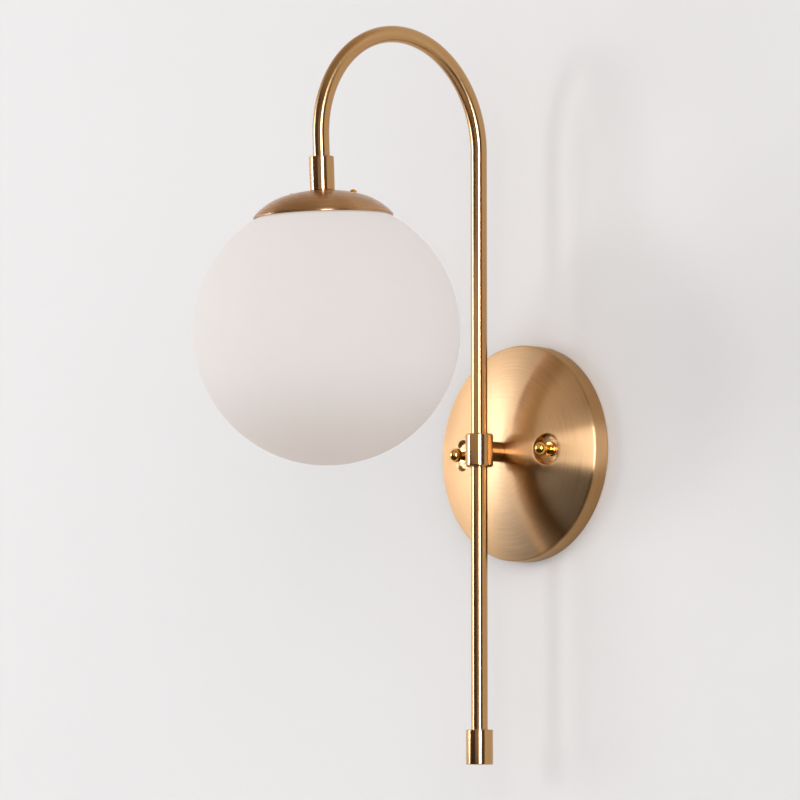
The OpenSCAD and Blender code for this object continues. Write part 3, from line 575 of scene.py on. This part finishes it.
def nutOutline(look):
    ballH = -nutLow.y - look["ballR"]
    neckDeg = -math.degrees(math.acos(look["neckR"] / look["ballR"]))
    ball = arcPoints(0, ballH, look["ballR"], neckDeg, 90, look["ballSteps"])
    top, fillet, steps = seatH + look["flangeH"], look["fillet"], look["edgeSteps"]
    flange = roundedSide(look["flangeR"], seatH, top, look["flangeRound"], steps)
    neck = arcPoints(look["neckR"] + fillet, top + fillet, fillet, 270, 180, steps)
    return [(0, seatH)] + flange + neck + ball


for side, body in ((-1, "nut_left"), (1, "nut_right")):
    place = Matrix.Translation((side * nutX, 0, 0)) @ wallFrame
    mesh = latheMesh("ballNut", nutOutline(nutLook), place, nutLook["segments"], sharpDeg=nutLook["sharpDeg"])
    makeObject("ballNut" + ("Left" if side < 0 else "Right"), mesh, "polished_brass", body, polishedBrass,
               "ball_" + body)

print("arm and collar")
armLook = {"radius": 5.75, "tailR": 5.0, "boreR": 2.7, "bevel": 0.3, "sunk": 0.2, "segments": 96}
collarLook = {"edgeRound": 1.0, "edgeSteps": 8, "socket": 5.0, "boreR": 3.75, "segments": 128}


def armOutline(look):
    root = plateDepth - look["sunk"]
    tip = wallGap - math.sqrt(((collarHigh.x - collarLow.x) / 2) ** 2 - look["radius"] ** 2)
    tail = -boxOf("arm")[1].y
    return [(look["boreR"], tail), (look["tailR"], tail), (look["tailR"], root),
            (look["radius"] - look["bevel"], root), (look["radius"], root + look["bevel"]),
            (look["radius"], tip), (look["boreR"], tip)]


makeObject("armStem", latheMesh("arm", armOutline(armLook), wallFrame, armLook["segments"], True),
           "satin_brass", "fixture", satinTube, "arm")


def collarOutline(look):
    r = (collarHigh.x - collarLow.x) / 2
    half = (collarHigh.z - collarLow.z) / 2
    floor = half - look["socket"]
    fit = tubeR + tubeFit
    outer = roundedSide(r, -half, half, look["edgeRound"], look["edgeSteps"])
    return outer + [(fit, half), (fit, floor), (look["boreR"], floor), (look["boreR"], -floor), (fit, -floor),
                    (fit, -half)]


collarMesh = latheMesh("collar", collarOutline(collarLook), postFrame, collarLook["segments"], True)
makeObject("collarBody", collarMesh, "satin_brass", "fixture", satinTube, "collar")

print("tubes")
tubeLook = {"wall": 1.0, "segments": 72, "straightSteps": 12, "archSteps": 120, "headSteps": 4,
            "sharpDeg": 60}


# Points along a straight stretch of the post, without its last one
def postPath(fromZ, toZ, steps):
    return [Vector((0, -wallGap, fromZ + (toZ - fromZ) * i / steps)) for i in range(steps)]


def archPath(look):
    sweep = math.pi + headLean
    path = postPath(tubeLow.z, riseH, look["straightSteps"])
    for i in range(look["archSteps"] + 1):
        a = sweep * i / look["archSteps"]
        path.append(Vector((0, -wallGap - archR + archR * math.cos(a), riseH + archR * math.sin(a))))
    reach = (path[-1] - couplingCentre).length
    steps = look["headSteps"]
    path += [path[-1] - headUp * reach * i / steps for i in range(1, steps + 1)]
    return path


def makeTube(name, path, look):
    outer = tubeRows(path, tubeR, look["segments"])
    inner = tubeRows(path, tubeR - look["wall"], look["segments"])
    return skinMesh(name, outer + inner[::-1], Matrix.Identity(4), True, look["sharpDeg"])


makeObject("gooseneck", makeTube("gooseneck", archPath(tubeLook), tubeLook), "satin_brass", "fixture",
           satinTube, "gooseneck_tube")
rodPath = postPath(rodHigh.z, rodLow.z, tubeLook["straightSteps"]) + [Vector((0, -wallGap, rodLow.z))]
makeObject("lowerRod", makeTube("lowerRod", rodPath, tubeLook), "satin_brass", "fixture", satinTube,
           "lower_rod")

print("end cap and coupling")
endCapLook = {"edgeRound": 0.5, "edgeSteps": 6, "mouthBevel": 0.3, "hole": 12.0, "segments": 128}
couplingLook = {"radius": 7.0, "length": 19.4, "edgeRound": 0.5, "edgeSteps": 6, "mouthBevel": 0.3,
                "socket": 9.5, "boreR": 5.05, "segments": 128}


def endCapOutline(look):
    r = (endCapHigh.x - endCapLow.x) / 2
    low, high, bevel = endCapLow.z, endCapHigh.z, look["mouthBevel"]
    fit = tubeR + tubeFit
    outer = roundedSide(r, low, high, look["edgeRound"], look["edgeSteps"])
    return [(0, low)] + outer + [(fit + bevel, high), (fit, high - bevel), (fit, high - look["hole"]),
                                 (0, high - look["hole"])]


makeObject("rodEndCap", latheMesh("rodEndCap", endCapOutline(endCapLook), postFrame, endCapLook["segments"]),
           "satin_brass", "fixture", satinTube, "rod_end_cap")


def couplingOutline(look):
    middle = (couplingCentre - globeCentre).length
    low, high, bevel = middle - look["length"] / 2, middle + look["length"] / 2, look["mouthBevel"]
    fit = tubeR + tubeFit
    outer = roundedSide(look["radius"], low, high, look["edgeRound"], look["edgeSteps"])
    return outer + [(fit + bevel, high), (fit, high - bevel), (fit, high - look["socket"]),
                    (look["boreR"], high - look["socket"]), (look["boreR"], low)]


couplingMesh = latheMesh("headCoupling", couplingOutline(couplingLook), headFrame,
                         couplingLook["segments"], True)
makeObject("headCoupling", couplingMesh, "satin_brass", "fixture", satinTube, "coupling")

print("shade cap")
# Heights are up the head's axis from the globe's centre
capLook = {
    "rimR": 39.6, "rimUp": 64.65, "domeHeight": 14.4, "lip": 0.85, "wall": 1.0,
    "crownR": 80.0, "shoulderR": 35.0, "holeR": 5.1, "beadR": 0.42,
    "crownSteps": 20, "shoulderSteps": 28, "beadSteps": 12, "segments": 192, "sharpDeg": 40,
}


# Crown and shoulder of the cap, two arcs that meet smoothly, inset from its outside
def capArcs(look, inset):
    topUp = look["rimUp"] + look["lip"] + look["domeHeight"]
    rimDrop = look["crownR"] - look["domeHeight"]
    rimDist = math.hypot(look["rimR"], rimDrop)
    less = look["crownR"] - look["shoulderR"]
    along = (less ** 2 - look["shoulderR"] ** 2 + rimDist ** 2) / (2 * rimDist)
    across = math.sqrt(less ** 2 - along ** 2)
    shoulderX = (look["rimR"] * along - rimDrop * across) / rimDist
    shoulderDrop = look["crownR"] - (rimDrop * along + look["rimR"] * across) / rimDist
    crownDeg = math.degrees(math.asin(shoulderX / less))
    holeDeg = math.degrees(math.asin(look["holeR"] / (look["crownR"] - inset)))
    rimDeg = math.degrees(math.acos((look["rimR"] - shoulderX) / look["shoulderR"]))
    crown = arcPoints(0, topUp - look["crownR"], look["crownR"] - inset, 90 - holeDeg, 90 - crownDeg,
                      look["crownSteps"])
    shoulder = arcPoints(shoulderX, topUp - shoulderDrop, look["shoulderR"] - inset, 90 - crownDeg, rimDeg,
                         look["shoulderSteps"])
    return crown + shoulder[1:]


# Outside down to the rolled rim, and back up inside
def capOutline(look):
    bead = look["beadR"]
    rim = arcPoints(look["rimR"] - bead, look["rimUp"] + bead, bead, 70, -180, look["beadSteps"])
    return capArcs(look, 0)[:-1] + rim + capArcs(look, look["wall"])[::-1]


capMesh = latheMesh("shadeCap", capOutline(capLook), headFrame, capLook["segments"], True,
                    capLook["sharpDeg"])
makeObject("shadeCapShell", capMesh, "satin_brass", "fixture", satinCap, "shade_cap")

capScrewLook = {"reach": 18.5, "turn": 26, "headR": 2.2, "headH": 1.7, "shankR": 1.25, "shank": 3.86,
                "slotWide": 0.6, "slotDeep": 0.55, "leastH": 0.05, "rings": 22, "segments": 72,
                "sharpDeg": 40}


# Two round-head screws with a straight slot, in one mesh
def makeCapScrews(look):
    crownUp = capLook["rimUp"] + capLook["lip"] + capLook["domeHeight"]
    seatUp = crownUp - capLook["crownR"] + math.sqrt(capLook["crownR"] ** 2 - look["reach"] ** 2)
    ballR = (look["headR"] ** 2 + look["headH"] ** 2) / (2 * look["headH"])
    turns = [2 * math.pi * k / look["segments"] for k in range(look["segments"])]
    bm = bmesh.new()
    for side in (0, 180):
        place = (headFrame @ Matrix.Rotation(math.radians(look["turn"] + side), 4, "Z")
                 @ Matrix.Translation((look["reach"], 0, seatUp)))
        rows = [[(0, 0, -look["shank"])] * len(turns)]
        for r, h in ((look["shankR"], -look["shank"]), (look["shankR"], 0), (look["headR"], 0)):
            rows.append([(r * math.cos(t), r * math.sin(t), h) for t in turns])
        for i in range(1, look["rings"] + 1):
            r = look["headR"] * (1 - i / look["rings"])
            row = []
            for t in turns:
                up = look["headH"] - ballR + math.sqrt(ballR ** 2 - r * r)
                inSlot = abs(r * math.sin(t)) < look["slotWide"] / 2
                up = max(up - look["slotDeep"] * inSlot, look["leastH"])
                row.append((r * math.cos(t), r * math.sin(t), up))
            rows.append(row)
        bm.from_mesh(skinMesh("capScrew", rows, place, sharpDeg=look["sharpDeg"]))
    mesh = bpy.data.meshes.new("capScrews")
    bm.to_mesh(mesh)
    bm.free()
    mesh.shade_smooth()
    mesh.set_sharp_from_angle(angle=math.radians(look["sharpDeg"]))
    return mesh


makeObject("capScrews", makeCapScrews(capScrewLook), "polished_brass", "fixture", polishedBrass, "cap_screws")

print("globe")
globeLook = {
    "wall": 2.5, "neckR": 27.5, "neckTopUp": 72.5, "fillet": 1.2, "lipRound": 1.0,
    "trim": 0.02,    # keeps this finer ball inside the box of the solid's flat faces
    "outerSteps": 150, "innerSteps": 120, "edgeSteps": 6, "segments": 256,
}


def globeOutline(look):
    neckR, fillet = look["neckR"], look["fillet"]
    filletX = neckR + fillet
    filletUp = math.sqrt((globeR + fillet) ** 2 - filletX ** 2)
    startDeg = math.degrees(math.atan2(filletUp, filletX))
    lip, top, steps = look["lipRound"], look["neckTopUp"], look["edgeSteps"]
    outer = arcPoints(0, 0, globeR - look["trim"], -90, startDeg, look["outerSteps"])
    bend = arcPoints(filletX, filletUp, fillet, 180 + startDeg, 180, steps)
    inR = neckR - look["wall"]
    lips = (arcPoints(neckR - lip, top - lip, lip, 0, 90, steps)
            + arcPoints(inR + lip, top - lip, lip, 90, 180, steps))
    inner = globeR - look["wall"]
    inDeg = math.degrees(math.acos(inR / inner))
    inside = arcPoints(0, 0, inner, inDeg, -90, look["innerSteps"])
    return outer + bend[1:] + lips + inside


globeMesh = latheMesh("globe", globeOutline(globeLook), headFrame, globeLook["segments"])
makeObject("globeGlass", globeMesh, "opal_glass", "globe", opalGlass, "glass_globe")

print("stage")
# Sizes and distances of the stage are in metres
wallLook = {"colour": "#E3E2E2", "size": 9.0, "setBack": 0.0005, "openingR": 0.059, "segments": 180}
floorLook = {"colour": "#E4E3E3", "size": 14.0, "level": -1.1}
worldLook = {"colour": "#E9E8E8", "seen": 0.8, "fill": 0.87}


# A pale stage surface that isn't drawn from behind, so that the light shows from every side
def makeStageMaterial(name, look):
    material, tree = newMaterial(name)
    facing = addNode(tree, "ShaderNodeNewGeometry")
    paint = addNode(tree, "ShaderNodeBsdfDiffuse", {"Color": toLinear(look["colour"])})
    clear = addNode(tree, "ShaderNodeBsdfTransparent")
    both = addNode(tree, "ShaderNodeMixShader", None,
                   {0: facing.outputs["Backfacing"], 1: paint.outputs["BSDF"], 2: clear.outputs["BSDF"]})
    addNode(tree, "ShaderNodeOutputMaterial", None, {"Surface": both.outputs["Shader"]})
    return material


def addSheet(name, corners, faces, material, mirrored):
    mesh = bpy.data.meshes.new(name)
    mesh.from_pydata([Vector(c) for c in corners], [], faces)
    sheet = bpy.data.objects.new(name, mesh)
    bpy.context.scene.collection.objects.link(sheet)
    mesh.materials.append(material)
    sheet.visible_glossy = mirrored


# The wall has a round opening behind the plate, which lets light into the plate in views from behind
def addWall(look, level):
    half, count = look["size"] / 2, look["segments"]
    inner, outer, faces = [], [], []
    for k in range(count):
        c, s = math.cos(2 * math.pi * k / count), math.sin(2 * math.pi * k / count)
        reach = min(half / max(abs(c), tiny), (half if s > 0 else -level) / max(abs(s), tiny))
        inner.append((look["openingR"] * c, look["setBack"], look["openingR"] * s))
        outer.append((reach * c, look["setBack"], reach * s))
        n = (k + 1) % count
        faces.append([k, count + k, count + n, n])
    addSheet("wall", inner + outer, faces, makeStageMaterial("wallPaint", look), True)


def addFloor(look):
    half, level = look["size"] / 2, look["level"]
    corners = [(-half, -half, level), (half, -half, level), (half, half, level), (-half, half, level)]
    addSheet("floor", corners, [[0, 1, 2, 3]], makeStageMaterial("floorPaint", look), False)


addWall(wallLook, floorLook["level"])
addFloor(floorLook)

print("lights")


# A direction off the wall: azimuth 0 is straight out, positive to the right; in degrees
def direction(azimuth, elevation):
    a, e = math.radians(azimuth), math.radians(elevation)
    return Vector((math.sin(a) * math.cos(e), -math.cos(a) * math.cos(e), math.sin(e)))


# A lamp is given by where it stands and how many degrees it fills, as seen from the object
def addLamp(name, look, aim):
    lamp = bpy.data.lights.new(name, "AREA")
    lamp.shape = "RECTANGLE"
    distance = look["distance"]
    lamp.size = 2 * distance * math.tan(math.radians(look["wide"] / 2))
    lamp.size_y = 2 * distance * math.tan(math.radians(look["tall"] / 2))
    lamp.energy = look["glow"] * math.pi * lamp.size * lamp.size_y
    lamp.color = toLinear(look["colour"])[:3]
    holder = bpy.data.objects.new(name, lamp)
    bpy.context.scene.collection.objects.link(holder)
    holder.location = aim + direction(look["azimuth"], look["elevation"]) * distance
    holder.rotation_euler = (aim - holder.location).to_track_quat("-Z", "Y").to_euler()
    holder.rotation_euler.rotate_axis("Z", math.radians(look.get("lean", 0)))
    holder.visible_camera = False
    holder.visible_glossy = look["mirrored"]
    holder.visible_diffuse = not look["mirrored"]


# The mirrored ones are only seen in the metal, and the others only light the wall and the glass
lamps = {
    "windowCore": {"azimuth": -51.8, "elevation": 6, "wide": 13, "tall": 27, "distance": 2.0, "glow": 15.5,
                   "colour": "#C6D7FF", "mirrored": True, "lean": -8},
    "windowWide": {"azimuth": -72, "elevation": 8, "wide": 26, "tall": 28, "distance": 2.0, "glow": 1.1,
                   "colour": "#FFF6EA", "mirrored": True},
    "softBox": {"azimuth": 51, "elevation": 4, "wide": 14, "tall": 33, "distance": 2.0, "glow": 36.0,
                "colour": "#D2E0FF", "mirrored": True},
    "softBoxTop": {"azimuth": 52, "elevation": 29, "wide": 15, "tall": 18, "distance": 2.0, "glow": 3.0,
                   "colour": "#DCE6FF", "mirrored": True},
    "sideLight": {"azimuth": -54, "elevation": 4, "wide": 26, "tall": 30, "distance": 2.2, "glow": 3.4,
                  "colour": "#FFFFFF", "mirrored": False},
    "roomLight": {"azimuth": 50, "elevation": 12, "wide": 44, "tall": 44, "distance": 2.4, "glow": 1.35,
                  "colour": "#FFFDFB", "mirrored": False},
    "key": {"azimuth": -24, "elevation": 8, "wide": 10, "tall": 10, "distance": 2.4, "glow": 10.5,
            "colour": "#FFFFFF", "mirrored": False},
}
lampAim = Vector((0, -0.08, 0.02))
for name, look in lamps.items():
    addLamp(name, look, lampAim)


# Studio cards, seen only in reflections: bent ones have rows of elevation, first and last azimuth
def addCard(name, look, steps=12):
    material, tree = newMaterial(name)
    glow = addNode(tree, "ShaderNodeEmission", {"Color": toLinear(look["colour"]), "Strength": look["glow"]})
    addNode(tree, "ShaderNodeOutputMaterial", None, {"Surface": glow.outputs["Emission"]})
    verts, faces = [], []
    for elevation, first, last in look.get("rows", []):
        for i in range(steps + 1):
            a = math.radians(first + (last - first) * i / steps)
            height = look["distance"] * math.tan(math.radians(elevation))
            verts.append((math.sin(a) * look["distance"], -math.cos(a) * look["distance"], height))
    for row in range(len(look.get("rows", [])) - 1):
        for i in range(steps):
            k = row * (steps + 1) + i
            faces.append([k, k + 1, k + steps + 2, k + steps + 1])
    if "corners" in look:
        verts, faces = look["corners"], [[0, 1, 2, 3]]
    mesh = bpy.data.meshes.new(name)
    mesh.from_pydata(verts, [], faces)
    card = bpy.data.objects.new(name, mesh)
    bpy.context.scene.collection.objects.link(card)
    mesh.materials.append(material)
    card.visible_camera = False
    card.visible_diffuse = False
    card.visible_shadow = False


cards = {
    "windowLow": {"distance": 2.4, "glow": 0.4, "colour": "#FFF6EA",
                  "rows": [(-44, -99, -74), (-22, -96, -60)]},
    "windowSheet": {"distance": 2.4, "glow": 0.85, "colour": "#FFF6EA",
                    "rows": [(-22, -96, -60), (-4, -95, -48.5), (6, -95, -44), (28, -95, -46)]},
    "windowHigh": {"distance": 2.4, "glow": 0.6, "colour": "#FFF6EA",
                   "rows": [(28, -95, -46), (50, -97, -51)]},
    "fanFill": {"distance": 2.4, "glow": 0.55, "colour": "#F2EEFF", "rows": [(-10, 8, 46), (22, 8, 46)]},
    "cardLow": {"distance": 2.6, "glow": 0.045, "colour": "#FFE8DA",
                "rows": [(-82, -92, 88), (-60, -84, 88), (-44, -74, 88), (-22, -60, 88), (-4, -48.5, 88),
                         (2, -45.8, 88)]},
    "cardHigh": {"distance": 2.6, "glow": 0.15, "colour": "#FFE4D0",
                 "rows": [(2, -45.8, 88), (6, -44, 88), (28, -46, 88), (50, -51, 88), (70, -56, 88)]},
    "ceiling": {"glow": 0.42, "colour": "#FFEEDD",
                "corners": [(-2.6, -2.8, 2.4), (2.6, -2.8, 2.4), (2.6, -0.02, 2.4), (-2.6, -0.02, 2.4)]},
    "flagAbove": {"glow": 0.64, "colour": "#FFEBD8",
                  "corners": [(-1.6, -0.03, 0.45), (1.6, -0.03, 0.45), (1.6, -0.03, 2.4),
                              (-1.6, -0.03, 2.4)]},
}
for name, look in cards.items():
    addCard(name, look)


# A plain pale surround, with one strength where it is seen and another for the light it gives
def addWorld(look):
    world = bpy.data.worlds.new("studio")
    bpy.context.scene.world = world
    world.use_nodes = True
    tree = world.node_tree
    tree.nodes.clear()
    path = addNode(tree, "ShaderNodeLightPath")
    seen = addNode(tree, "ShaderNodeMath", {"operation": "MAXIMUM"},
                   {0: path.outputs["Is Camera Ray"], 1: path.outputs["Is Glossy Ray"]})
    seenAtAll = addNode(tree, "ShaderNodeMath", {"operation": "MAXIMUM"},
                        {0: seen.outputs["Value"], 1: path.outputs["Is Transmission Ray"]})
    strength = addNode(tree, "ShaderNodeMapRange", {"To Min": look["fill"], "To Max": look["seen"]},
                       {"Value": seenAtAll.outputs["Value"]})
    sky = addNode(tree, "ShaderNodeBackground", {"Color": toLinear(look["colour"])},
                  {"Strength": strength.outputs["Result"]})
    addNode(tree, "ShaderNodeOutputWorld", None, {"Surface": sky.outputs["Background"]})


addWorld(worldLook)

print("camera")
# Low and to the right of the light, looking up a little; in metres, degrees and, for the lens, millimetres
cameraLook = {"place": (1.9787, -1.9970, -0.2234), "pan": 46.28, "tilt": 5.19, "lens": 217.37,
              "sensor": 36, "farthest": 60}


def addCamera(look):
    camera = bpy.data.cameras.new("camera")
    camera.lens = look["lens"]
    camera.sensor_width = look["sensor"]
    camera.clip_end = look["farthest"]
    holder = bpy.data.objects.new("camera", camera)
    bpy.context.scene.collection.objects.link(holder)
    holder.location = look["place"]
    pan, tilt = math.radians(look["pan"]), math.radians(look["tilt"])
    ahead = Vector((-math.sin(pan) * math.cos(tilt), math.cos(pan) * math.cos(tilt), math.sin(tilt)))
    holder.rotation_euler = ahead.to_track_quat("-Z", "Y").to_euler()
    bpy.context.scene.camera = holder


addCamera(cameraLook)
bpy.context.scene.view_settings.view_transform = "Standard"
